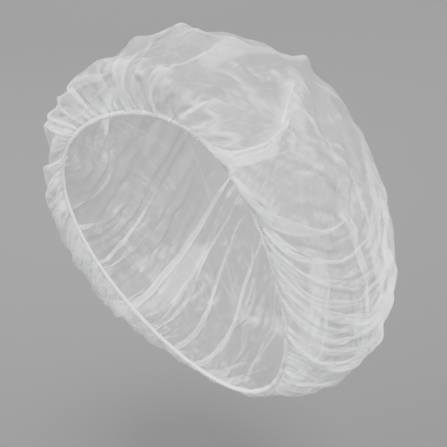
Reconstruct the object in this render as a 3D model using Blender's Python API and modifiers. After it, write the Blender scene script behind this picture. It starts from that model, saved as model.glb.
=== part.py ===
"""Round cap: a thin non-woven bag gathered on an elastic edge, in its worn shape.

Metres, +Z up. The forehead side faces -Y and the wearer's left is +X. The origin is on the inner
face of the bag at the top, where the cap bears on what wears it.
"""
import math

import bmesh
import bpy
import numpy as np

for old in list(bpy.data.objects):
    bpy.data.objects.remove(old, do_unlink=True)

# Sizes of the worn cap, before its folds
CAP_WIDTH = 0.252
CAP_DEPTH = 0.255
CAP_HEIGHT = 0.285

# Cloth and elastic
CLOTH_WALL = 0.0014
FOLD_HEIGHT = 0.010
EDGE_WIDTH = 0.0036
EDGE_THICKNESS = 0.0014
EDGE_GAP = 0.0003
EDGE_TILT_ROOM = 0.0003

# Colours and roughness
CLOTH_COLOUR = (0.90, 0.91, 0.92)
CLOTH_ROUGHNESS = 0.75
EDGE_COLOUR = (0.93, 0.93, 0.92)
EDGE_ROUGHNESS = 0.70

# Columns round the opening, a multiple of 8. The count halves twice on the way to the centre.
COLUMNS = 192
RIB_SAMPLES = 120
OPENING_SAMPLES = 1441
SHARP_ANGLE = math.radians(50)

# Sections of the bag from its edge to its centre, mostly rounded from a computed fit to the photo's
# outline. The lengths along Y are shares of CAP_DEPTH, along Z of CAP_HEIGHT, and side_x of CAP_WIDTH.
SECTIONS = (
    # front_y, front_z, side_x, side_y, side_z, back_y, back_z
    (-0.29, -0.22, 0.33, -0.13, -0.51, 0.27, -0.96),
    (-0.34, -0.17, 0.41, -0.10, -0.60, 0.35, -0.98),
    (-0.37, -0.10, 0.46, 0.02, -0.62, 0.45, -0.97),
    (-0.26, -0.09, 0.48, 0.17, -0.60, 0.56, -0.92),
    (-0.15, 0.00, 0.47, 0.30, -0.53, 0.62, -0.83),
    (0.03, 0.00, 0.42, 0.38, -0.41, 0.65, -0.70),
    (0.26, 0.01, 0.34, 0.46, -0.28, 0.65, -0.54),
    (0.45, -0.06, 0.20, 0.55, -0.20, 0.63, -0.35),
    (0.58, -0.17, 0.00, 0.58, -0.17, 0.58, -0.17),
)

# Waves of the gathers: fine, middle and broad. A gather takes this many columns, moved by shift.
# Its size is the mean plus the swing times a sine of size_turn, which sets it apart from the next.
GATHERS = (
    # columns, shift, mean, swing, size_turn, size_start
    (2, -0.5, 0.75, 0.35, 2.4, 0.0),
    (4, 0.0, 0.70, 0.40, 1.7, 0.6),
    (8, 2.0, 0.75, 0.45, 2.9, 1.1),
)

# Rings of the mesh from the edge up. The place is a share of the way from the edge to the centre.
# The other values are the heights of the fine, middle and broad gathers, as shares of FOLD_HEIGHT.
RINGS = (
    # place, column_step, fine, middle, broad
    (0.000, 1, 0.02, 0.00, 0.00),
    (0.015, 1, 0.12, 0.04, 0.00),
    (0.040, 1, 0.19, 0.10, 0.04),
    (0.070, 1, 0.19, 0.16, 0.08),
    (0.105, 1, 0.15, 0.20, 0.13),
    (0.145, 1, 0.09, 0.23, 0.18),
    (0.190, 1, 0.04, 0.22, 0.23),
    (0.245, 1, 0.01, 0.18, 0.26),
    (0.310, 2, 0.00, 0.12, 0.27),
    (0.380, 2, 0.00, 0.07, 0.25),
    (0.455, 2, 0.00, 0.03, 0.21),
    (0.535, 2, 0.00, 0.00, 0.17),
    (0.620, 2, 0.00, 0.00, 0.12),
    (0.705, 4, 0.00, 0.00, 0.08),
    (0.790, 4, 0.00, 0.00, 0.05),
    (0.880, 4, 0.00, 0.00, 0.02),
)

# A fold's length along a rib counts as this many degrees for the whole way to the centre, and
# folds fade out towards the edge over this share of the way.
DEGREES_PER_PLACE = 180
EDGE_FADE = 0.06

# Main folds and dents. Angles are in degrees round the opening from the forehead towards +X,
# places are shares of the way to the centre, half_width is in degrees and the height is a share
# of FOLD_HEIGHT, below zero for a dent.
FOLDS = (
    # start_angle, start_place, end_angle, end_place, half_width, height
    (54, 0.06, 40, 0.58, 7, 0.50),
    (55, 0.50, 56, 0.78, 5, -0.50),
    (38, 0.52, 40, 0.78, 5, -0.40),
    (68, 0.38, 92, 0.60, 6, -0.55),
    (84, 0.33, 104, 0.53, 6, -0.45),
    (110, 0.22, 127, 0.43, 6, -0.50),
    (128, 0.02, 140, 0.11, 4, -0.30),
    (303, 0.03, 305, 0.16, 5, -0.45),
    (293, 0.03, 295, 0.14, 5, 0.40),
    (352, 0.32, 349, 0.62, 7, 0.30),
    (18, 0.36, 22, 0.68, 7, -0.30),
    (182, 0.12, 178, 0.55, 9, 0.50),
    (205, 0.24, 228, 0.46, 7, -0.45),
    (250, 0.16, 238, 0.52, 8, 0.45),
    (268, 0.30, 284, 0.56, 7, -0.45),
    (158, 0.42, 198, 0.50, 8, -0.35),
    (225, 0.60, 262, 0.72, 9, 0.30),
    (142, 0.34, 152, 0.70, 7, 0.40),
    (84, 0.66, 106, 0.82, 8, -0.35),
    (318, 0.38, 328, 0.68, 8, 0.35),
)


def own_material(name, colour, roughness):
    """Return a Principled material of its own for one object."""
    material = bpy.data.materials.new(name)
    material.use_nodes = True
    shader = material.node_tree.nodes["Principled BSDF"]
    shader.inputs["Base Color"].default_value = (*colour, 1.0)
    shader.inputs["Roughness"].default_value = roughness
    return material


def add_object(name, mesh_data, material):
    """Link a mesh as an object in a collection of its own name."""
    mesh = bpy.data.meshes.new(name)
    mesh_data.to_mesh(mesh)
    mesh_data.free()
    mesh.materials.append(material)
    obj = bpy.data.objects.new(name, mesh)
    group = bpy.data.collections.new(name)
    bpy.context.scene.collection.children.link(group)
    group.objects.link(obj)
    return obj


def section_at(place):
    """Interpolate the SECTIONS rows smoothly. The place runs from 0 to 1."""
    rows = np.array(SECTIONS)
    last = len(rows) - 1
    t = min(max(place, 0.0), 1.0) * last
    i = min(int(t), last - 1)
    f = t - i
    before = rows[i - 1] if i else 2 * rows[0] - rows[1]
    after = rows[i + 2] if i + 2 <= last else 2 * rows[last] - rows[last - 1]
    here, there = rows[i], rows[i + 1]
    return 0.5 * (
        2 * here
        + (there - before) * f
        + (2 * before - 5 * here + 4 * there - after) * f ** 2
        + (3 * here - before - 3 * there + after) * f ** 3
    )


def bag_points(place, turns):
    """Return the points of the plain bag on one section, for angles given as an array."""
    front_y, front_z, side_x, side_y, side_z, back_y, back_z = section_at(place)
    across, along = np.sin(turns), np.cos(turns)
    mid_y, mid_z = (front_y + back_y) / 2, (front_z + back_z) / 2
    x = side_x * across
    y = mid_y + (front_y - back_y) / 2 * along + (side_y - mid_y) * across ** 2
    z = mid_z + (front_z - back_z) / 2 * along + (side_z - mid_z) * across ** 2
    return np.stack([x * CAP_WIDTH, y * CAP_DEPTH, z * CAP_HEIGHT], axis=-1)


def even_turns():
    """Return the column angles that space the columns evenly round the opening."""
    fine = np.linspace(0.0, 2 * math.pi, OPENING_SAMPLES)
    points = bag_points(0.0, fine)
    steps = np.linalg.norm(np.diff(points, axis=0), axis=1)
    run = np.concatenate([[0.0], np.cumsum(steps)])
    return np.interp(np.arange(COLUMNS) / COLUMNS * run[-1], run, fine)


def rib_grid(turns):
    """Return rib points (samples, columns, 3) and each one's distance from the edge."""
    places = np.linspace(0.0, 1.0, RIB_SAMPLES)
    ribs = np.stack([bag_points(place, turns) for place in places])
    steps = np.linalg.norm(np.diff(ribs, axis=0), axis=2)
    run = np.vstack([np.zeros(len(turns)), np.cumsum(steps, axis=0)])
    return ribs, run


def ring_on_ribs(ribs, run, distances):
    """Return the points at the given distance along each rib."""
    points = np.empty((ribs.shape[1], 3))
    for column in range(ribs.shape[1]):
        for axis in range(3):
            points[column, axis] = np.interp(
                distances[column], run[:, column], ribs[:, column, axis]
            )
    return points


def outward_normals(rings):
    """Return unit normals of a grid of rings, from its neighbours up and across."""
    across = np.roll(rings, -1, axis=1) - np.roll(rings, 1, axis=1)
    up = np.gradient(rings, axis=0)
    normals = np.cross(across, up)
    normals /= np.linalg.norm(normals, axis=2, keepdims=True)
    return normals


def gather_height(column, heights):
    """Return one column's gather height as a share of FOLD_HEIGHT. No two gathers are alike."""
    total = 0.0
    for height, (columns, shift, mean, swing, size_turn, size_start) in zip(heights, GATHERS):
        number = column // columns
        size = mean + swing * math.sin(size_turn * number * number + size_start)
        total += height * size * math.sin(2 * math.pi * (column + shift) / columns)
    return total


def fold_height(turn, place):
    """Return the summed height of the main folds at one point, as a share of FOLD_HEIGHT."""
    angle = math.degrees(turn)
    total = 0.0
    for start_angle, start_place, end_angle, end_place, half_width, height in FOLDS:
        run_angle = end_angle - start_angle
        run_place = (end_place - start_place) * DEGREES_PER_PLACE
        from_angle = (angle - start_angle + 180 - run_angle / 2) % 360 - 180 + run_angle / 2
        from_place = (place - start_place) * DEGREES_PER_PLACE
        length = run_angle ** 2 + run_place ** 2
        share = (from_angle * run_angle + from_place * run_place) / length
        share = min(max(share, 0.0), 1.0)
        off_angle = from_angle - share * run_angle
        off_place = from_place - share * run_place
        distance = math.hypot(off_angle, off_place)
        total += height * math.exp(-((distance / half_width) ** 2))
    return total * min(1.0, place / EDGE_FADE)


def build_crown(turns, ribs, run):
    """Build the bag as one open surface with a wall."""
    clear = EDGE_WIDTH / 2 + EDGE_GAP + EDGE_TILT_ROOM
    places = np.array([ring[0] for ring in RINGS])
    rings = np.stack([
        ring_on_ribs(ribs, run, clear + place * (run[-1] - clear)) for place in places
    ])
    normals = outward_normals(rings)
    mesh_data = bmesh.new()
    loops = []
    for index, (place, step, *heights) in enumerate(RINGS):
        loop = []
        for column in range(0, COLUMNS, step):
            height = gather_height(column, heights)
            height += fold_height(turns[column], place)
            point = rings[index, column] + normals[index, column] * height * FOLD_HEIGHT
            loop.append(mesh_data.verts.new(point))
        loops.append(loop)
    for lower, upper in zip(loops, loops[1:]):
        count = len(upper)
        for i in range(count):
            after = (i + 1) % count
            if len(lower) == count:
                mesh_data.faces.new((lower[i], lower[after], upper[after], upper[i]))
            else:
                left, middle_vert = lower[2 * i], lower[2 * i + 1]
                right = lower[(2 * i + 2) % len(lower)]
                mesh_data.faces.new((left, middle_vert, upper[i]))
                mesh_data.faces.new((middle_vert, upper[after], upper[i]))
                mesh_data.faces.new((middle_vert, right, upper[after]))
    centre = mesh_data.verts.new(ribs[-1, 0])
    top = loops[-1]
    for i in range(len(top)):
        mesh_data.faces.new((top[i], top[(i + 1) % len(top)], centre))
    bmesh.ops.recalc_face_normals(mesh_data, faces=mesh_data.faces)
    crown = add_object("crown", mesh_data, own_material("crown", CLOTH_COLOUR, CLOTH_ROUGHNESS))
    wall = crown.modifiers.new("wall", "SOLIDIFY")
    wall.thickness = CLOTH_WALL
    wall.offset = -1.0
    wall.use_quality_normals = True
    return crown


def build_elastic_edge(turns, ribs, run):
    """Build the closed ring of elastic and hem that runs round the opening."""
    half = EDGE_WIDTH / 2
    upper = ring_on_ribs(ribs, run, np.full(COLUMNS, half))
    centre = ring_on_ribs(ribs, run, np.zeros(COLUMNS))
    up = upper - centre
    up /= np.linalg.norm(up, axis=1, keepdims=True)
    across = np.roll(centre, -1, axis=0) - np.roll(centre, 1, axis=0)
    out = np.cross(across, up)
    out /= np.linalg.norm(out, axis=1, keepdims=True)
    mesh_data = bmesh.new()
    corners = []
    for column in range(COLUMNS):
        base = centre[column] - out[column] * CLOTH_WALL / 2
        ring = []
        for up_share, out_share in ((-1, -1), (-1, 1), (1, 1), (1, -1)):
            offset = up[column] * up_share * half + out[column] * out_share * EDGE_THICKNESS / 2
            ring.append(mesh_data.verts.new(base + offset))
        corners.append(ring)
    for column in range(COLUMNS):
        here, there = corners[column], corners[(column + 1) % COLUMNS]
        for i in range(4):
            after = (i + 1) % 4
            mesh_data.faces.new((here[i], here[after], there[after], there[i]))
    bmesh.ops.recalc_face_normals(mesh_data, faces=mesh_data.faces)
    material = own_material("elastic_edge", EDGE_COLOUR, EDGE_ROUGHNESS)
    return add_object("elastic_edge", mesh_data, material)


def build():
    """Build both pieces of the cap."""
    turns = even_turns()
    ribs, run = rib_grid(turns)
    pieces = (build_crown(turns, ribs, run), build_elastic_edge(turns, ribs, run))
    for piece in pieces:
        for face in piece.data.polygons:
            face.use_smooth = True
        bpy.ops.object.select_all(action="DESELECT")
        piece.select_set(True)
        bpy.context.view_layer.objects.active = piece
        bpy.ops.object.shade_smooth()
        piece.data.set_sharp_from_angle(angle=SHARP_ANGLE)


build()
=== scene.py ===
"""Looks of a round cap of thin white non-woven, gathered on an elastic edge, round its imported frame.

Metres, +Z up. The forehead side faces -Y and the wearer's left is +X.
"""
import math

import bmesh
import bpy
import numpy as np
from bpy.props import FloatProperty, FloatVectorProperty, IntProperty, PointerProperty
from bpy.types import Operator, Panel, PropertyGroup
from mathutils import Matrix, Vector, noise


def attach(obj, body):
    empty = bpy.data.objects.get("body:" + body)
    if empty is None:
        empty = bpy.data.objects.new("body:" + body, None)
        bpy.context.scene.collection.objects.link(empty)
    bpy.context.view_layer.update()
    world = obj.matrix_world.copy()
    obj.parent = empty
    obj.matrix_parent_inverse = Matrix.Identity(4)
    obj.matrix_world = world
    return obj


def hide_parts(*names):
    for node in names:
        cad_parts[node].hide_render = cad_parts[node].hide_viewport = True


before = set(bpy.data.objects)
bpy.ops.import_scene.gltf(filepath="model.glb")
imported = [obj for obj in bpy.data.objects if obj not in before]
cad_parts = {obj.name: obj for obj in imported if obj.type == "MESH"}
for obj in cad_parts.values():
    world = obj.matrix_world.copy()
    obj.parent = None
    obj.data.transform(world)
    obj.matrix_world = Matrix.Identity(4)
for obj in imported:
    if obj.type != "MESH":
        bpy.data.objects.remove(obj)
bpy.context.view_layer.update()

bl_info = {
    "name": "Round Non-woven Cap",
    "version": (1, 0, 0),
    "blender": (4, 5, 0),
    "location": "View3D > Sidebar > Cap",
    "description": "Makes a thin round cap gathered on an elastic edge, and a stage for it",
    "category": "Object",
}

# Sections of the plain bag from its edge to its centre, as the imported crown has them, which were
# mostly rounded from a computed fit to the photo's outline. The lengths along Y are shares of the
# cap's depth, along Z of its height, and side_x of its width.
SECTIONS = (
    # front_y, front_z, side_x, side_y, side_z, back_y, back_z
    (-0.29, -0.22, 0.33, -0.13, -0.51, 0.27, -0.96),
    (-0.34, -0.17, 0.41, -0.10, -0.60, 0.35, -0.98),
    (-0.37, -0.10, 0.46, 0.02, -0.62, 0.45, -0.97),
    (-0.26, -0.09, 0.48, 0.17, -0.60, 0.56, -0.92),
    (-0.15, 0.00, 0.47, 0.30, -0.53, 0.62, -0.83),
    (0.03, 0.00, 0.42, 0.38, -0.41, 0.65, -0.70),
    (0.26, 0.01, 0.34, 0.46, -0.28, 0.65, -0.54),
    (0.45, -0.06, 0.20, 0.55, -0.20, 0.63, -0.35),
    (0.58, -0.17, 0.00, 0.58, -0.17, 0.58, -0.17),
)

# Main folds and dents of the bag. Angles are in degrees round the opening from the forehead
# towards +X, places are shares of the way from the edge to the centre and half_width is in degrees.
# The height is in metres, below zero for a dent, and so is the overlap, by which the cloth is drawn
# together across the fold.
FOLDS = (
    # start_angle, start_place, end_angle, end_place, half_width, height, overlap
    (54, 0.06, 40, 0.52, 7, 0.0060, 0.045),
    (67, 0.32, 46, 0.40, 5, 0.0035, 0.012),
    (55, 0.50, 56, 0.78, 6, -0.0045, 0.003),
    (38, 0.52, 40, 0.78, 6, -0.0038, 0.004),
    (68, 0.38, 92, 0.60, 6, -0.0060, 0.012),
    (84, 0.33, 104, 0.53, 6, -0.0050, 0.014),
    (110, 0.22, 127, 0.43, 6, -0.0055, 0.016),
    (133, 0.01, 141, 0.10, 4, -0.0030, 0.008),
    (303, 0.03, 305, 0.16, 5, -0.0045, 0.010),
    (293, 0.03, 295, 0.14, 5, 0.0040, 0.010),
    (352, 0.32, 349, 0.62, 7, 0.0040, 0.018),
    (21, 0.28, 31, 0.66, 6, 0.0045, 0.018),
    (182, 0.12, 178, 0.55, 9, 0.0060, 0.020),
    (205, 0.24, 228, 0.46, 7, -0.0050, 0.014),
    (250, 0.16, 238, 0.52, 8, 0.0055, 0.020),
    (268, 0.30, 284, 0.56, 7, -0.0050, 0.012),
    (158, 0.42, 198, 0.50, 8, -0.0040, 0.012),
    (225, 0.60, 262, 0.72, 9, 0.0040, 0.014),
    (142, 0.34, 152, 0.70, 7, 0.0050, 0.018),
    (84, 0.66, 106, 0.82, 8, -0.0045, 0.012),
    (318, 0.38, 328, 0.68, 8, 0.0045, 0.016),
)
CREASE_COUNT = 170
CREASE_WIDTHS = (0.0035, 0.0080)
CREASE_LENGTHS = (0.05, 0.24)
CREASE_RISE = 0.0022
CREASE_OVERLAPS = (0.004, 0.011)
DEGREES_PER_PLACE = 180
FOLD_FADE = 0.06

# Samples of the plain bag's surface
OPENING_SAMPLES = 2881
RIB_SAMPLES = 161

# Rings of the sheet's mesh. Their spacing stays between two limits, and the columns halve where
# they come closer together than the third.
RING_STEP_LEAST = 0.0042
RING_STEP_MOST = 0.0050
COLUMN_STEP_LEAST = 0.0022
CENTRE_HOLE = 0.010
COARSEST_STEP = 16

# How the pleats change from fine at the edge to broad further up the bag. A pleat slides along the
# opening and folds over itself, and its height is a share of its slide.
FINE_REACH = 0.020
BROAD_REACH = 0.105
GATHER_RISE = 0.005
PLEAT_HEIGHT = 0.42
PLEAT_MOST = 0.0065
SLANT = 0.9
CROWN_CALM = 0.25
CRINKLE = 0.0006
PLEAT_PARTS = (1, 2, 4)
SLOPE_FADE = 0.15
MIDDLE_SHARE = 0.15

# Seeds of the random draws
WAVE_SEED = 11
LAY_SEED = 5
CREASE_SEED = 23
HEM_SEED = 3

# How the sheet settles. The pulls are shares of an error that one pass takes away.
SETTLE_PASSES = 260
SIDE_PULL = 1.0
SQUEEZED_PULL = 0.55
DIAGONAL_PULL = 0.35
BEND_PULL = 0.22
BEND_LEAST = 0.66
OVER_STEP = 1.5
KEPT_SPEED = 0.88
SURFACE_PULL = 0.4
REACH_OUT = 0.0085
REACH_SLOPE = 0.55
CROWN_REACH = 0.0055

# Crumples that the settled cloth keeps: crisp ridges of this size and height, in this many octaves
CRUMPLE_SIZE = 0.046
CRUMPLE_HEIGHT = 0.0015
CRUMPLE_OCTAVES = 2
CRUMPLE_FADE = 0.085
RIDGE_DROP = 0.85
RIDGE_LACUNARITY = 2.1
RIDGE_OFFSET = 0.9
RIDGE_GAIN = 1.9
RIDGE_RANGE = (-1.5, 2.5)

# Where the settled cloth is bent it looks denser. These are the vertex offsets from the middle of
# the neighbours at which that starts and is full.
BEND_STARTS = 0.0007
BEND_FULL = 0.0024

# A fold that draws together at least this much cloth lies pressed in layers along its middle
PRESSED_LEAST = 0.016
PRESSED_EDGE = 0.55
PRESSED_BLUR = 0.25
PRESSED_SHARE = 0.34

# The hem round the elastic
HEM_COLUMNS = 1152
HEM_SIDES = 14
HEM_HALF_THICKNESS = 0.0014
HEM_PUCKERS = 288
HEM_PUCKER_HEIGHT = 0.0006

# The camera, at the photograph's angle
CAMERA_AZIMUTH = math.radians(36)
CAMERA_HEIGHT_ANGLE = math.radians(2)
CAMERA_DISTANCE = 0.760
CAMERA_TARGET = Vector((0.0175, 0.0127, -0.1392))
CAMERA_LENS = 83.8
SENSOR_WIDTH = 36.0

# The stage: a flat floor that sweeps up into a wall all round
FLOOR_Z = -0.46
FLOOR_RADIUS = 0.35
SWEEP_RADIUS = 2.4
WALL_TOP = 3.4
STAGE_SIDES = 128
SWEEP_STEPS = 24
LIGHT_TARGET = (0.0, 0.03, -0.14)

# The key is a distant light, so that its strength is the same all over the stage
KEY_FROM = (1.08, -1.20, 0.72)
KEY_ANGLE = math.radians(16)
KEY_STRENGTH = 11.5
LIGHTS = (
    # name, location, size, power
    ("fill", (-1.0, -1.3, 0.55), 1.0, 26.0),
    ("top", (0.0, 0.5, 1.8), 1.8, 16.0),
    ("back", (-0.9, 0.8, 1.1), 0.5, 26.0),
)
WORLD_COLOUR = (0.96, 0.98, 1.0, 1.0)
WORLD_STRENGTH = 0.52

# The non-woven, in metres on the flat sheet. The covers are shares of the light that is stopped.
STRAND_LAYERS = (
    # turn, width, length
    (0.2, 0.0007, 0.009),
    (1.0, 0.0006, 0.008),
    (1.8, 0.0008, 0.010),
    (2.6, 0.0007, 0.009),
)
STRAND_THICKNESS = 0.075
STRAND_COVER = 0.06
PINCH_LAYERS = (
    # turn, width, length
    (0.5, 0.020, 0.150),
    (1.6, 0.017, 0.130),
    (2.7, 0.022, 0.160),
)
PINCH_THICKNESS = 0.020
PINCH_COVER = 0.12
PATCH_SIZE = 0.055
CLOUD_SIZE = 0.0060
CLOUD_COVER = (0.07, 0.13)
BOND_PITCH = 0.0013
BOND_COVER = 0.03
BEND_COVER = 0.65
GLOW_SHARE = 0.30
CREASE_SIZE = 0.0075
CREASE_HEIGHT = 0.0005

# Noise values between which each texture goes from none to full, and the weights of the relief
PATCH_RANGE = (0.38, 0.58)
CLOUD_RANGE = (0.32, 0.68)
BOND_RANGE = (0.18, 0.34)
FIBRE_RELIEF = 0.35
CREASE_RELIEF = 4.0
BOND_RELIEF = 0.25
PINCH_RELIEF = 1.3

# The hem's cloth
GRAIN_SIZE = 0.0008
GRAIN_HEIGHT = 0.0003
TONE_SIZE = 0.0030
HEM_GLOW = 0.5
HEM_SHADE = 0.93


class CapSizes(PropertyGroup):
    """Sizes of the cap and of its sheet."""

    width: FloatProperty(
        name="Width", description="Width of the plain bag", default=0.252, unit="LENGTH"
    )
    depth: FloatProperty(
        name="Depth", description="Depth of the plain bag", default=0.255, unit="LENGTH"
    )
    height: FloatProperty(
        name="Height", description="Height of the plain bag", default=0.285, unit="LENGTH"
    )
    sheet_diameter: FloatProperty(
        name="Sheet Diameter",
        description="Diameter of the flat round sheet before it is gathered",
        default=0.610,
        unit="LENGTH",
    )
    edge_width: FloatProperty(
        name="Edge Width", description="Width of the gathered edge", default=0.0036, unit="LENGTH"
    )
    gathers: IntProperty(
        name="Gathers", description="Number of gathers round the opening", default=80, min=16
    )
    columns_per_gather: IntProperty(
        name="Columns per Gather", description="Mesh columns in each gather", default=7, min=4
    )


class CapColours(PropertyGroup):
    """Colours of the cap and of its stage."""

    cloth: FloatVectorProperty(
        name="Cloth",
        description="Colour of the non-woven",
        subtype="COLOR",
        default=(0.90, 0.91, 0.92),
        min=0.0,
        max=1.0,
    )
    elastic: FloatVectorProperty(
        name="Elastic",
        description="Colour of the elastic and its hem",
        subtype="COLOR",
        default=(0.93, 0.93, 0.92),
        min=0.0,
        max=1.0,
    )
    backdrop: FloatVectorProperty(
        name="Backdrop",
        description="Colour of the floor and backdrop",
        subtype="COLOR",
        default=(0.085, 0.087, 0.084),
        min=0.0,
        max=1.0,
    )


def sizes():
    """Return the scene's cap sizes."""
    return bpy.context.scene.cap_sizes


def colours():
    """Return the scene's cap colours."""
    return bpy.context.scene.cap_colours


def link_object(name, mesh):
    """Link a mesh as a new object in the scene."""
    obj = bpy.data.objects.new(name, mesh)
    bpy.context.scene.collection.objects.link(obj)
    return obj


def section_at(place):
    """Interpolate the SECTIONS rows smoothly. The place runs from 0 to 1."""
    rows = np.array(SECTIONS)
    last = len(rows) - 1
    t = min(max(place, 0.0), 1.0) * last
    i = min(int(t), last - 1)
    f = t - i
    before = rows[i - 1] if i else 2 * rows[0] - rows[1]
    after = rows[i + 2] if i + 2 <= last else 2 * rows[last] - rows[last - 1]
    here, there = rows[i], rows[i + 1]
    return 0.5 * (
        2 * here
        + (there - before) * f
        + (2 * before - 5 * here + 4 * there - after) * f ** 2
        + (3 * here - before - 3 * there + after) * f ** 3
    )


def bag_points(place, turns):
    """Return the points of the plain bag on one section, for angles given as an array."""
    front_y, front_z, side_x, side_y, side_z, back_y, back_z = section_at(place)
    across, along = np.sin(turns), np.cos(turns)
    mid_y, mid_z = (front_y + back_y) / 2, (front_z + back_z) / 2
    x = side_x * across
    y = mid_y + (front_y - back_y) / 2 * along + (side_y - mid_y) * across ** 2
    z = mid_z + (front_z - back_z) / 2 * along + (side_z - mid_z) * across ** 2
    size = sizes()
    return np.stack([x * size.width, y * size.depth, z * size.height], axis=-1)


def even_turns(count):
    """Return angles that space the columns evenly round the opening."""
    fine = np.linspace(0.0, 2 * math.pi, OPENING_SAMPLES)
    points = bag_points(0.0, fine)
    steps = np.linalg.norm(np.diff(points, axis=0), axis=1)
    run = np.concatenate([[0.0], np.cumsum(steps)])
    return np.interp(np.arange(count) / count * run[-1], run, fine)


class BagSurface:
    """The plain bag as ribs from the edge to the centre, with normals."""

    def __init__(self, columns):
        self.turns = even_turns(columns)
        places = np.linspace(0.0, 1.0, RIB_SAMPLES)
        self.ribs = np.stack([bag_points(place, self.turns) for place in places])
        steps = np.linalg.norm(np.diff(self.ribs, axis=0), axis=2)
        self.run = np.vstack([np.zeros(columns), np.cumsum(steps, axis=0)])
        across = np.roll(self.ribs, -1, axis=1) - np.roll(self.ribs, 1, axis=1)
        up = np.gradient(self.ribs, axis=0)
        normals = np.cross(across, up)
        normals[-1] = normals[-2]
        self.normals = normals / np.linalg.norm(normals, axis=2, keepdims=True)

    def ring(self, distances):
        """Return points and normals at one distance along each rib."""
        columns = self.ribs.shape[1]
        points, normals = np.empty((columns, 3)), np.empty((columns, 3))
        for column in range(columns):
            for axis in range(3):
                run = self.run[:, column]
                points[column, axis] = np.interp(distances[column], run, self.ribs[:, column, axis])
                normals[column, axis] = np.interp(
                    distances[column], run, self.normals[:, column, axis]
                )
        normals /= np.linalg.norm(normals, axis=1, keepdims=True)
        return points, normals


def strewn_creases(seed):
    """Return small creases strewn over the bag, with the same columns as FOLDS."""
    rng = np.random.default_rng(seed)
    rows = []
    for _ in range(CREASE_COUNT):
        angle, place = rng.uniform(0, 360), rng.uniform(0.12, 0.94)
        slant, length = rng.normal(0, 0.7), rng.uniform(*CREASE_LENGTHS)
        per_degree = math.pi * sizes().sheet_diameter * (1.0 - place) / 360
        end_angle = angle + length * math.sin(slant) * DEGREES_PER_PLACE
        end_place = min(place + length * math.cos(slant), 0.98)
        half_width = rng.uniform(*CREASE_WIDTHS) / per_degree
        rise = rng.normal(0, CREASE_RISE)
        overlap = rng.uniform(*CREASE_OVERLAPS)
        rows.append((angle, place, end_angle, end_place, half_width, rise, overlap))
    return rows


def fold_shape(turns, place, folds):
    """Return the height, sideways tuck and pressed layers that the folds give along one ring."""
    angles = np.degrees(turns)
    height, tuck, pressed = np.zeros((3, len(turns)))
    for start_angle, start_place, end_angle, end_place, half_width, rise, overlap in folds:
        run_angle = end_angle - start_angle
        run_place = (end_place - start_place) * DEGREES_PER_PLACE
        from_angle = (angles - start_angle + 180 - run_angle / 2) % 360 - 180 + run_angle / 2
        from_place = (place - start_place) * DEGREES_PER_PLACE
        length = run_angle ** 2 + run_place ** 2
        share = np.clip((from_angle * run_angle + from_place * run_place) / length, 0.0, 1.0)
        off_angle = from_angle - share * run_angle
        off_place = from_place - share * run_place
        near = np.exp(-(off_angle ** 2 + off_place ** 2) / half_width ** 2)
        height += rise * near
        tuck -= overlap * off_angle / half_width * near
        if overlap >= PRESSED_LEAST:
            pressed = np.maximum(pressed, near)
    fade = min(1.0, place / FOLD_FADE)
    pressed = np.clip((pressed - PRESSED_EDGE) / PRESSED_BLUR, 0.0, 1.0)
    return height * fade, tuck * fade, pressed * fade


def ring_plan():
    """Return (distance from the sheet's edge, column step) for each ring of the sheet's mesh."""
    radius = sizes().sheet_diameter / 2
    full = sizes().gathers * sizes().columns_per_gather
    plan = []
    distance, step = 0.0, 1
    while distance < radius - CENTRE_HOLE:
        plan.append((distance, step))
        spacing = 2 * math.pi * (radius - distance) / (full / step)
        if spacing < COLUMN_STEP_LEAST and step < COARSEST_STEP:
            step *= 2
            spacing *= 2
        distance += min(max(spacing, RING_STEP_LEAST), RING_STEP_MOST)
    return plan


def wander(rng, turn, lowest, highest, size):
    """Return a smooth random wave round the opening, made of the given range of wave counts."""
    total = np.zeros(len(turn))
    for count in range(lowest, highest):
        total += rng.normal(0, size) * np.sin(2 * np.pi * (count * turn + rng.random()))
    return total


def gather_waves(turn, seed):
    """Return one function for each size of pleat, from fine to broad.

    Each takes a distance from the edge and returns the pleats' wave there. Their ridges slant away
    from the ribs as they run up, and no two pleats have the same size.
    """
    rng = np.random.default_rng(seed)
    waves = []
    for part in PLEAT_PARTS:
        count = sizes().gathers // part
        drift = wander(rng, turn, 2, 14, 0.16)
        slant = wander(rng, turn, 2, 10, 0.22) * SLANT / part
        uneven = 1.0 + np.clip(wander(rng, turn, count // 6, count // 2, 0.13), -0.7, 0.8)

        def wave(distance, count=count, drift=drift, slant=slant, uneven=uneven):
            bend = slant * distance / BROAD_REACH
            return np.sin(2 * np.pi * (count * turn + drift + bend)) * uneven

        waves.append(wave)
    return waves


def pleat_slides(waves, distance, place, loop_length, flat_length):
    """Return how far each spot of one ring slides along the opening, to take up the spare cloth."""
    ratio = max(flat_length / loop_length, 1.0)
    slope = math.sqrt((ratio * math.pi / 2) ** 2 - math.pi ** 2 / 4 + 1.0)
    slope *= min(1.0, (ratio - 1.0) / SLOPE_FADE)
    fine = math.exp(-((distance / FINE_REACH) ** 2))
    broad = 1.0 - math.exp(-((distance / BROAD_REACH) ** 2))
    middle = max(0.0, 1.0 - fine - broad) + MIDDLE_SHARE
    whole = math.sqrt(fine ** 2 + middle ** 2 + broad ** 2)
    total = np.zeros(sizes().gathers * sizes().columns_per_gather)
    for wave, share, part in zip(waves, (fine, middle, broad), PLEAT_PARTS):
        wavelength = loop_length / (sizes().gathers // part)
        total += wave(distance) * slope * share / whole * wavelength / (2 * math.pi)
    rise = min(1.0, distance / GATHER_RISE)
    calm = min(1.0, (1.0 - place) / CROWN_CALM)
    return total * rise * calm


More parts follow.
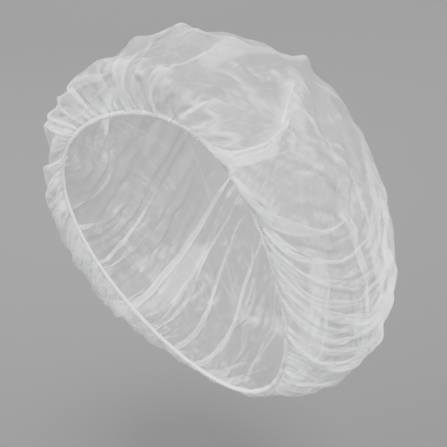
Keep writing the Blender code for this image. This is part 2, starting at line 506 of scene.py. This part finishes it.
class GatheredSheet:
    """The flat round sheet drawn up round the plain bag, before it settles."""

    def __init__(self):
        radius = sizes().sheet_diameter / 2
        full = sizes().gathers * sizes().columns_per_gather
        bag = BagSurface(full)
        turn = np.arange(full) / full
        waves = gather_waves(turn, WAVE_SEED)
        rng = np.random.default_rng(LAY_SEED)
        lay = np.clip(wander(rng, turn, 1, 6, 0.9) * 3.0, -1.0, 1.0)
        folds = list(FOLDS) + strewn_creases(CREASE_SEED)
        angle = 2 * np.pi * np.arange(full) / full
        around = np.stack([np.sin(angle), -np.cos(angle), np.zeros(full)], axis=-1)
        start, flat, surface, normals, reach, pressed = [], [], [], [], [], []
        self.ring_starts, self.steps = [], []
        for distance, step in ring_plan():
            place = distance / radius
            ring, out = bag.ring(place * bag.run[-1])
            along = np.roll(ring, -1, axis=0) - ring
            loop_length = np.linalg.norm(along, axis=1).sum()
            along /= np.linalg.norm(along, axis=1, keepdims=True)
            flat_length = 2 * math.pi * (radius - distance)
            slide = pleat_slides(waves, distance, place, loop_length, flat_length)
            height = PLEAT_MOST * np.tanh(slide * lay * PLEAT_HEIGHT / PLEAT_MOST)
            height += rng.normal(0, CRINKLE, full) * min(1.0, distance / GATHER_RISE)
            rise, tuck, layers = fold_shape(bag.turns, place, folds)
            plain = ring + out * rise[:, None]
            shape = plain + out * height[:, None] + along * (slide + tuck)[:, None]
            calm = min(1.0, (1.0 - place) / CROWN_CALM)
            most = CROWN_REACH + (REACH_OUT - CROWN_REACH) * calm
            self.ring_starts.append(sum(len(block) for block in start))
            self.steps.append(step)
            start.append(shape[::step])
            flat.append(around[::step] * (radius - distance))
            surface.append(plain[::step])
            normals.append(out[::step])
            pressed.append(layers[::step])
            reach.append(np.full(full // step, min(distance * REACH_SLOPE, most)))
        self.ring_starts.append(sum(len(block) for block in start))
        centre = bag.ribs[-1, :1]
        self.start = np.vstack(start + [centre])
        self.flat = np.vstack(flat + [np.zeros((1, 3))])
        self.surface = np.vstack(surface + [centre])
        self.normals = np.vstack(normals + [bag.normals[-1, :1]])
        self.reach = np.concatenate(reach + [np.array([CROWN_REACH])])
        self.pressed = np.concatenate(pressed + [np.zeros(1)])

    def faces(self):
        """Return the faces that join the rings."""
        full = sizes().gathers * sizes().columns_per_gather
        faces = []
        for index in range(len(self.steps) - 1):
            low, high = self.ring_starts[index], self.ring_starts[index + 1]
            low_count, high_count = full // self.steps[index], full // self.steps[index + 1]
            for i in range(high_count):
                after = (i + 1) % high_count
                if low_count == high_count:
                    faces.append((low + i, low + after, high + after, high + i))
                else:
                    left, middle = low + 2 * i, low + 2 * i + 1
                    right = low + (2 * i + 2) % low_count
                    faces.append((left, middle, high + i))
                    faces.append((middle, high + after, high + i))
                    faces.append((middle, right, high + after))
        last, count, centre = self.ring_starts[-2], full // self.steps[-1], self.ring_starts[-1]
        for i in range(count):
            faces.append((last + i, last + (i + 1) % count, centre))
        return faces


def pair_up(columns):
    """Return the unique vertex pairs in a list of two-column arrays."""
    return np.unique(np.sort(np.vstack(columns), axis=1), axis=0)


def side_pairs(faces):
    """Return the vertex pairs along the sides of the faces."""
    quads = np.array([face for face in faces if len(face) == 4])
    triangles = np.array([face for face in faces if len(face) == 3])
    sides = [quads[:, [k, (k + 1) % 4]] for k in range(4)]
    sides += [triangles[:, [k, (k + 1) % 3]] for k in range(3)]
    return pair_up(sides)


def cloth_links(flat, faces, ring_starts, steps):
    """Return the sheet's links as (first, second, rest length, pull, resists only squeezing)."""
    quads = np.array([face for face in faces if len(face) == 4])
    full = sizes().gathers * sizes().columns_per_gather
    bends = []
    for start, step in zip(ring_starts, steps):
        around = np.arange(full // step)
        bends.append(np.stack([start + around, start + (around + 2) % len(around)], axis=1))
    for index in range(len(steps) - 2):
        if steps[index] == steps[index + 2]:
            around = np.arange(full // steps[index])
            pair = (ring_starts[index] + around, ring_starts[index + 2] + around)
            bends.append(np.stack(pair, axis=1))
    groups = (
        (side_pairs(faces), 1.0, SIDE_PULL, False),
        (pair_up([quads[:, [0, 2]], quads[:, [1, 3]]]), 1.0, DIAGONAL_PULL, False),
        (pair_up(bends), BEND_LEAST, BEND_PULL, True),
    )
    pairs = np.vstack([group[0] for group in groups])
    rest = np.linalg.norm(flat[pairs[:, 0]] - flat[pairs[:, 1]], axis=1)
    share = np.concatenate([np.full(len(group[0]), group[1]) for group in groups])
    pull = np.concatenate([np.full(len(group[0]), group[2]) for group in groups])
    bend = np.concatenate([np.full(len(group[0]), group[3]) for group in groups])
    return pairs[:, 0], pairs[:, 1], rest * share, pull, bend


def settle(start, surface, normals, reach, links):
    """Let the sheet settle on its elastic until each patch has the size that it was cut to.

    Each pass moves both ends of every link towards its rest length, and then brings back what
    stands further from the plain bag than its reach. Vertices with no reach stay where they are.
    """
    first, second, rest, pull, bend = links
    count = len(start)
    free = (reach > 0.0).astype(float)
    free_first, free_second = free[first], free[second]
    free_both = np.maximum(free_first + free_second, 1.0)
    tally = np.bincount(first, pull, count) + np.bincount(second, pull, count)
    places, speed = start.copy(), np.zeros_like(start)
    for _ in range(SETTLE_PASSES):
        before = places.copy()
        places += speed * KEPT_SPEED * free[:, None]
        gap = places[second] - places[first]
        length = np.maximum(np.linalg.norm(gap, axis=1), 1e-9)
        error = length - rest
        error = np.where(error < 0.0, np.where(bend, error, error * SQUEEZED_PULL), error)
        error[bend & (error > 0.0)] = 0.0
        step = gap * (error * pull / length / free_both)[:, None]
        for axis in range(3):
            move = np.bincount(first, step[:, axis] * free_first, count)
            move -= np.bincount(second, step[:, axis] * free_second, count)
            places[:, axis] += move / tally * 2.0 * OVER_STEP
        height = ((places - surface) * normals).sum(axis=1)
        back = np.clip(height, -reach, reach) - height
        places += normals * (back * SURFACE_PULL)[:, None]
        speed = places - before
    return places


def crumple(places, normals, flat):
    """Raise crisp ridges on the settled sheet, where it has no gathers to take them up."""
    ridges = (RIDGE_DROP, RIDGE_LACUNARITY, CRUMPLE_OCTAVES, RIDGE_OFFSET, RIDGE_GAIN)
    heights = np.array([
        noise.ridged_multi_fractal(Vector(spot) / CRUMPLE_SIZE, *ridges) for spot in flat
    ])
    heights = np.clip((heights - heights.mean()) / heights.std(), *RIDGE_RANGE)
    from_edge = sizes().sheet_diameter / 2 - np.linalg.norm(flat, axis=1)
    fade = np.clip(from_edge / CRUMPLE_FADE, 0.0, 1.0)
    return places + normals * (heights * fade * CRUMPLE_HEIGHT)[:, None]


def bend_shares(mesh, places, pairs):
    """Return how sharply the cloth is bent at each vertex, from 0 where it is flat to 1."""
    first, second = pairs[:, 0], pairs[:, 1]
    count = len(places)
    tally = np.bincount(first, minlength=count) + np.bincount(second, minlength=count)
    normals = np.empty(count * 3, dtype=np.float32)
    mesh.vertices.foreach_get("normal", normals)
    normals = normals.reshape(count, 3)
    offset = np.zeros(count)
    for axis in range(3):
        middle = np.bincount(first, places[second, axis], count)
        middle += np.bincount(second, places[first, axis], count)
        offset += (middle / tally - places[:, axis]) * normals[:, axis]
    return np.clip((np.abs(offset) - BEND_STARTS) / (BEND_FULL - BEND_STARTS), 0.0, 1.0)


class CAP_OT_bag(Operator):
    """Make the gathered non-woven bag."""

    bl_idname = "cap.bag"
    bl_label = "Make Bag"

    def execute(self, context):
        sheet = GatheredSheet()
        faces = sheet.faces()
        places = sheet.start
        links = cloth_links(sheet.flat, faces, sheet.ring_starts, sheet.steps)
        places = settle(sheet.start, sheet.surface, sheet.normals, sheet.reach, links)
        places = crumple(places, sheet.normals, sheet.flat)
        if not np.isfinite(places).all():
            raise RuntimeError("The sheet did not settle")
        mesh = bpy.data.meshes.new("bag")
        mesh.from_pydata(places.tolist(), [], faces)
        bag = link_object("bag", mesh)
        flat_map = mesh.uv_layers.new(name="sheet")
        corner_verts = np.empty(len(mesh.loops), dtype=np.int32)
        mesh.loops.foreach_get("vertex_index", corner_verts)
        spots = sheet.flat[corner_verts, :2] / sizes().sheet_diameter + 0.5
        flat_map.data.foreach_set("uv", spots.astype(np.float32).ravel())
        # The cloth is denser where it is bent or pressed, and the material reads that from here
        bend = mesh.attributes.new("bend", "FLOAT", "POINT")
        bent = bend_shares(mesh, places, side_pairs(faces)) + sheet.pressed * PRESSED_SHARE
        bend.data.foreach_set("value", np.clip(bent, 0.0, 1.0).astype(np.float32))
        smooth = bag.modifiers.new("smooth", "SUBSURF")
        smooth.levels = 1
        smooth.render_levels = 1
        for face in mesh.polygons:
            face.use_smooth = True
        mesh.materials.append(non_woven())
        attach(bag, "root")
        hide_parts("crown")
        return {"FINISHED"}


def new_material(name):
    """Return a material with an empty node tree, and its output node."""
    material = bpy.data.materials.new(name)
    material.use_nodes = True
    tree = material.node_tree
    tree.nodes.clear()
    output = tree.nodes.new("ShaderNodeOutputMaterial")
    return material, tree, output


def add_node(tree, kind, **inputs):
    """Add a shader node and set its inputs by name, from an output to link or a value."""
    node = tree.nodes.new(kind)
    for name, value in inputs.items():
        socket = node.inputs[name.replace("_", " ")]
        if isinstance(value, bpy.types.NodeSocket):
            tree.links.new(value, socket)
        else:
            socket.default_value = value
    return node


def combine(tree, operation, first, second):
    """Add a Math node and return its output. Each input is an output to link or a number."""
    node = tree.nodes.new("ShaderNodeMath")
    node.operation = operation
    for index, value in enumerate((first, second)):
        if isinstance(value, bpy.types.NodeSocket):
            tree.links.new(value, node.inputs[index])
        else:
            node.inputs[index].default_value = value
    return node.outputs["Value"]


def remap(tree, value, low, high, to_low, to_high):
    """Map a value from one range to another, held inside the new range."""
    node = add_node(
        tree,
        "ShaderNodeMapRange",
        Value=value,
        From_Min=low,
        From_Max=high,
        To_Min=to_low,
        To_Max=to_high,
    )
    return node.outputs["Result"]


def mix(tree, share, first, second):
    """Mix two shaders, with this share of the second, and return the output."""
    node = tree.nodes.new("ShaderNodeMixShader")
    if isinstance(share, bpy.types.NodeSocket):
        tree.links.new(share, node.inputs["Fac"])
    else:
        node.inputs["Fac"].default_value = share
    tree.links.new(first, node.inputs[1])
    tree.links.new(second, node.inputs[2])
    return node.outputs["Shader"]


def strands(tree, place, turn, width, length, thickness, detail):
    """Return thin lines that run in one direction: 1 on a strand and 0 beside it."""
    mapping = add_node(tree, "ShaderNodeMapping", Vector=place)
    mapping.inputs["Rotation"].default_value = (0.0, 0.0, turn)
    mapping.inputs["Scale"].default_value = (1.0 / width, 1.0 / length, 1.0)
    texture = add_node(
        tree, "ShaderNodeTexNoise", Vector=mapping.outputs["Vector"], Scale=1.0, Detail=detail
    )
    away = combine(tree, "SUBTRACT", texture.outputs["Fac"], 0.5)
    away = combine(tree, "ABSOLUTE", away, 0.0)
    return remap(tree, away, 0.0, thickness, 1.0, 0.0)


def strand_layers(tree, place, layers, thickness, detail):
    """Return the strands of several directions together."""
    total = None
    for turn, width, length in layers:
        layer = strands(tree, place, turn, width, length, thickness, detail)
        total = layer if total is None else combine(tree, "MAXIMUM", total, layer)
    return total


def non_woven():
    """Return the sheer spunbonded non-woven, laid out on the flat sheet in metres."""
    material, tree, output = new_material("non_woven")
    uv = add_node(tree, "ShaderNodeTexCoord").outputs["UV"]
    diameter = sizes().sheet_diameter
    scaled = add_node(tree, "ShaderNodeMapping", Vector=uv)
    scaled.inputs["Scale"].default_value = (diameter, diameter, 1.0)
    place = scaled.outputs["Vector"]
    fibres = strand_layers(tree, place, STRAND_LAYERS, STRAND_THICKNESS, 2.0)
    pinches = strand_layers(tree, place, PINCH_LAYERS, PINCH_THICKNESS, 0.0)
    patches = add_node(
        tree, "ShaderNodeTexNoise", Vector=place, Scale=1.0 / PATCH_SIZE, Detail=1.0
    ).outputs["Fac"]
    pinches = combine(tree, "MULTIPLY", pinches, remap(tree, patches, *PATCH_RANGE, 0.0, 1.0))
    cloud = add_node(
        tree, "ShaderNodeTexNoise", Vector=place, Scale=1.0 / CLOUD_SIZE, Detail=4.0, Roughness=0.62
    ).outputs["Fac"]
    bonds = add_node(
        tree, "ShaderNodeTexVoronoi", Vector=place, Scale=1.0 / BOND_PITCH, Randomness=0.25
    ).outputs["Distance"]
    bonded = remap(tree, bonds, *BOND_RANGE, 1.0, 0.0)
    creases = add_node(
        tree, "ShaderNodeTexNoise", Vector=place, Scale=1.0 / CREASE_SIZE, Detail=5.0, Roughness=0.7
    ).outputs["Fac"]
    cover = combine(tree, "MULTIPLY", fibres, STRAND_COVER)
    cover = combine(tree, "ADD", cover, remap(tree, cloud, *CLOUD_RANGE, *CLOUD_COVER))
    cover = combine(tree, "ADD", cover, combine(tree, "MULTIPLY", bonded, BOND_COVER))
    cover = combine(tree, "ADD", cover, combine(tree, "MULTIPLY", pinches, PINCH_COVER))
    bend = tree.nodes.new("ShaderNodeAttribute")
    bend.attribute_name = "bend"
    cover = combine(tree, "ADD", cover, combine(tree, "MULTIPLY", bend.outputs["Fac"], BEND_COVER))
    relief = combine(tree, "MULTIPLY", fibres, FIBRE_RELIEF)
    relief = combine(tree, "ADD", relief, combine(tree, "MULTIPLY", creases, CREASE_RELIEF))
    relief = combine(tree, "SUBTRACT", relief, combine(tree, "MULTIPLY", bonded, BOND_RELIEF))
    relief = combine(tree, "ADD", relief, combine(tree, "MULTIPLY", pinches, PINCH_RELIEF))
    bump = add_node(
        tree, "ShaderNodeBump", Strength=0.6, Distance=CREASE_HEIGHT, Height=relief
    ).outputs["Normal"]
    colour = (*colours().cloth, 1.0)
    skin = add_node(
        tree,
        "ShaderNodeBsdfPrincipled",
        Base_Color=colour,
        Roughness=0.6,
        Sheen_Weight=0.35,
        Sheen_Roughness=0.45,
        Normal=bump,
    )
    glow = add_node(tree, "ShaderNodeBsdfTranslucent", Color=colour, Normal=bump)
    cloth = mix(tree, GLOW_SHARE, skin.outputs["BSDF"], glow.outputs["BSDF"])
    clear = tree.nodes.new("ShaderNodeBsdfTransparent").outputs["BSDF"]
    held_cover = remap(tree, cover, 0.0, 1.0, 0.0, 1.0)
    tree.links.new(mix(tree, held_cover, clear, cloth), output.inputs["Surface"])
    return material


def elastic_cloth():
    """Return the denser white of the gathered edge."""
    material, tree, output = new_material("elastic_cloth")
    place = add_node(tree, "ShaderNodeTexCoord").outputs["Object"]
    grain = add_node(
        tree, "ShaderNodeTexNoise", Vector=place, Scale=1.0 / GRAIN_SIZE, Detail=4.0, Roughness=0.6
    ).outputs["Fac"]
    tone = add_node(
        tree, "ShaderNodeTexNoise", Vector=place, Scale=1.0 / TONE_SIZE, Detail=2.0
    ).outputs["Fac"]
    shade = tree.nodes.new("ShaderNodeMix")
    shade.data_type = "RGBA"
    tree.links.new(tone, shade.inputs["Factor"])
    light = colours().elastic
    shade.inputs["A"].default_value = (*(HEM_SHADE * value for value in light), 1.0)
    shade.inputs["B"].default_value = (*light, 1.0)
    bump = add_node(
        tree, "ShaderNodeBump", Strength=0.5, Distance=GRAIN_HEIGHT, Height=grain
    ).outputs["Normal"]
    skin = add_node(tree, "ShaderNodeBsdfPrincipled", Roughness=0.7, Normal=bump)
    tree.links.new(shade.outputs["Result"], skin.inputs["Base Color"])
    glow = add_node(tree, "ShaderNodeBsdfTranslucent", Normal=bump)
    tree.links.new(shade.outputs["Result"], glow.inputs["Color"])
    cloth = mix(tree, HEM_GLOW, skin.outputs["BSDF"], glow.outputs["BSDF"])
    tree.links.new(cloth, output.inputs["Surface"])
    return material


def backdrop_paint():
    """Return the matt grey of the floor and backdrop."""
    material, tree, output = new_material("backdrop_paint")
    skin = add_node(
        tree, "ShaderNodeBsdfPrincipled", Roughness=0.9, Base_Color=(*colours().backdrop, 1.0)
    )
    tree.links.new(skin.outputs["BSDF"], output.inputs["Surface"])
    return material


class CAP_OT_elastic_edge(Operator):
    """Make the puckered elastic edge."""

    bl_idname = "cap.elastic_edge"
    bl_label = "Make Elastic Edge"

    def execute(self, context):
        half_width = sizes().edge_width / 2
        bag = BagSurface(HEM_COLUMNS)
        centre, out = bag.ring(np.zeros(HEM_COLUMNS))
        above = bag.ring(np.full(HEM_COLUMNS, half_width))[0]
        up = above - centre
        up /= np.linalg.norm(up, axis=1, keepdims=True)
        rng = np.random.default_rng(HEM_SEED)
        turn = np.arange(HEM_COLUMNS) / HEM_COLUMNS
        drift = wander(rng, turn, 5, 40, 0.05)
        uneven = 1.0 + np.clip(wander(rng, turn, 20, 70, 0.10), -0.6, 0.6)
        pucker = np.sin(2 * np.pi * (HEM_PUCKERS * turn + drift)) * uneven
        mesh_data = bmesh.new()
        loops = []
        for column in range(HEM_COLUMNS):
            ring = []
            for k in range(HEM_SIDES):
                angle = 2 * np.pi * k / HEM_SIDES
                lift = pucker[column] * HEM_PUCKER_HEIGHT
                high = math.cos(angle) * (half_width + lift / 2)
                wide = math.sin(angle) * (HEM_HALF_THICKNESS + lift)
                ring.append(mesh_data.verts.new(centre[column] + up[column] * high + out[column] * wide))
            loops.append(ring)
        for column in range(HEM_COLUMNS):
            here, there = loops[column], loops[(column + 1) % HEM_COLUMNS]
            for k in range(HEM_SIDES):
                after = (k + 1) % HEM_SIDES
                mesh_data.faces.new((here[k], here[after], there[after], there[k]))
        bmesh.ops.recalc_face_normals(mesh_data, faces=mesh_data.faces)
        mesh = bpy.data.meshes.new("elastic_hem")
        mesh_data.to_mesh(mesh)
        mesh_data.free()
        hem = link_object("elastic_hem", mesh)
        for face in mesh.polygons:
            face.use_smooth = True
        mesh.materials.append(elastic_cloth())
        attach(hem, "root")
        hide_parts("elastic_edge")
        return {"FINISHED"}


class CAP_OT_camera(Operator):
    """Make the camera at the photograph's angle."""

    bl_idname = "cap.camera"
    bl_label = "Make Camera"

    def execute(self, context):
        data = bpy.data.cameras.new("camera")
        data.lens = CAMERA_LENS
        data.sensor_width = SENSOR_WIDTH
        data.clip_start = 0.01
        camera = bpy.data.objects.new("camera", data)
        context.scene.collection.objects.link(camera)
        back = Vector((
            math.sin(CAMERA_AZIMUTH) * math.cos(CAMERA_HEIGHT_ANGLE),
            -math.cos(CAMERA_AZIMUTH) * math.cos(CAMERA_HEIGHT_ANGLE),
            math.sin(CAMERA_HEIGHT_ANGLE),
        ))
        camera.location = CAMERA_TARGET + back * CAMERA_DISTANCE
        camera.rotation_mode = "QUATERNION"
        camera.rotation_quaternion = (-back).to_track_quat("-Z", "Y")
        context.scene.camera = camera
        return {"FINISHED"}


def aim_light(data, location):
    """Place a light so that it faces the cap."""
    light = bpy.data.objects.new(data.name, data)
    light.location = location
    light.rotation_mode = "QUATERNION"
    towards = Vector(LIGHT_TARGET) - Vector(location)
    light.rotation_quaternion = towards.to_track_quat("-Z", "Y")
    bpy.context.scene.collection.objects.link(light)


def stage_profile():
    """Return the stage's (radius, height) points, from the flat floor up the sweep to the wall."""
    profile = [(FLOOR_RADIUS, FLOOR_Z)]
    for k in range(1, SWEEP_STEPS + 1):
        angle = math.radians(90 * k / SWEEP_STEPS)
        radius = FLOOR_RADIUS + SWEEP_RADIUS * math.sin(angle)
        profile.append((radius, FLOOR_Z + SWEEP_RADIUS * (1 - math.cos(angle))))
    profile.append((FLOOR_RADIUS + SWEEP_RADIUS, WALL_TOP))
    return profile


class CAP_OT_stage(Operator):
    """Make the floor, the backdrop and the soft lights."""

    bl_idname = "cap.stage"
    bl_label = "Make Stage"

    def execute(self, context):
        mesh_data = bmesh.new()
        centre = mesh_data.verts.new((0.0, 0.0, FLOOR_Z))
        angles = [2 * math.pi * i / STAGE_SIDES for i in range(STAGE_SIDES)]
        rings = [
            [mesh_data.verts.new((radius * math.cos(a), radius * math.sin(a), z)) for a in angles]
            for radius, z in stage_profile()
        ]
        for i in range(STAGE_SIDES):
            mesh_data.faces.new((centre, rings[0][i], rings[0][(i + 1) % STAGE_SIDES]))
        for low, high in zip(rings, rings[1:]):
            for i in range(STAGE_SIDES):
                after = (i + 1) % STAGE_SIDES
                mesh_data.faces.new((low[i], high[i], high[after], low[after]))
        mesh = bpy.data.meshes.new("backdrop")
        mesh_data.to_mesh(mesh)
        mesh_data.free()
        backdrop = link_object("backdrop", mesh)
        for face in mesh.polygons:
            face.use_smooth = True
        mesh.materials.append(backdrop_paint())
        # The wall casts no shadow, so that the distant key reaches the cap
        backdrop.visible_shadow = False
        key = bpy.data.lights.new("key", "SUN")
        key.angle = KEY_ANGLE
        key.energy = KEY_STRENGTH
        aim_light(key, KEY_FROM)
        for name, location, size, power in LIGHTS:
            data = bpy.data.lights.new(name, "AREA")
            data.size = size
            data.energy = power
            aim_light(data, location)
        world = bpy.data.worlds.new("studio")
        world.use_nodes = True
        background = world.node_tree.nodes["Background"]
        background.inputs["Color"].default_value = WORLD_COLOUR
        background.inputs["Strength"].default_value = WORLD_STRENGTH
        context.scene.world = world
        return {"FINISHED"}


class CAP_PT_panel(Panel):
    """Lists the cap's operators in the sidebar."""

    bl_label = "Round Cap"
    bl_idname = "CAP_PT_panel"
    bl_space_type = "VIEW_3D"
    bl_region_type = "UI"
    bl_category = "Cap"

    def draw(self, context):
        layout = self.layout
        for name in CapSizes.__annotations__:
            layout.prop(context.scene.cap_sizes, name)
        for name in CapColours.__annotations__:
            layout.prop(context.scene.cap_colours, name)
        for operator in (CAP_OT_camera, CAP_OT_bag, CAP_OT_elastic_edge, CAP_OT_stage):
            layout.operator(operator.bl_idname)


CLASSES = (
    CapSizes,
    CapColours,
    CAP_OT_camera,
    CAP_OT_bag,
    CAP_OT_elastic_edge,
    CAP_OT_stage,
    CAP_PT_panel,
)


def register():
    """Register the classes and the scene's properties."""
    for cls in CLASSES:
        bpy.utils.register_class(cls)
    bpy.types.Scene.cap_sizes = PointerProperty(type=CapSizes)
    bpy.types.Scene.cap_colours = PointerProperty(type=CapColours)


def unregister():
    """Remove the scene's properties and the classes."""
    del bpy.types.Scene.cap_colours
    del bpy.types.Scene.cap_sizes
    for cls in reversed(CLASSES):
        bpy.utils.unregister_class(cls)


def main():
    """Make the cap and its stage."""
    register()
    bpy.ops.cap.camera()
    bpy.ops.cap.bag()
    bpy.ops.cap.elastic_edge()
    bpy.ops.cap.stage()


if __name__ == "__main__":
    main()
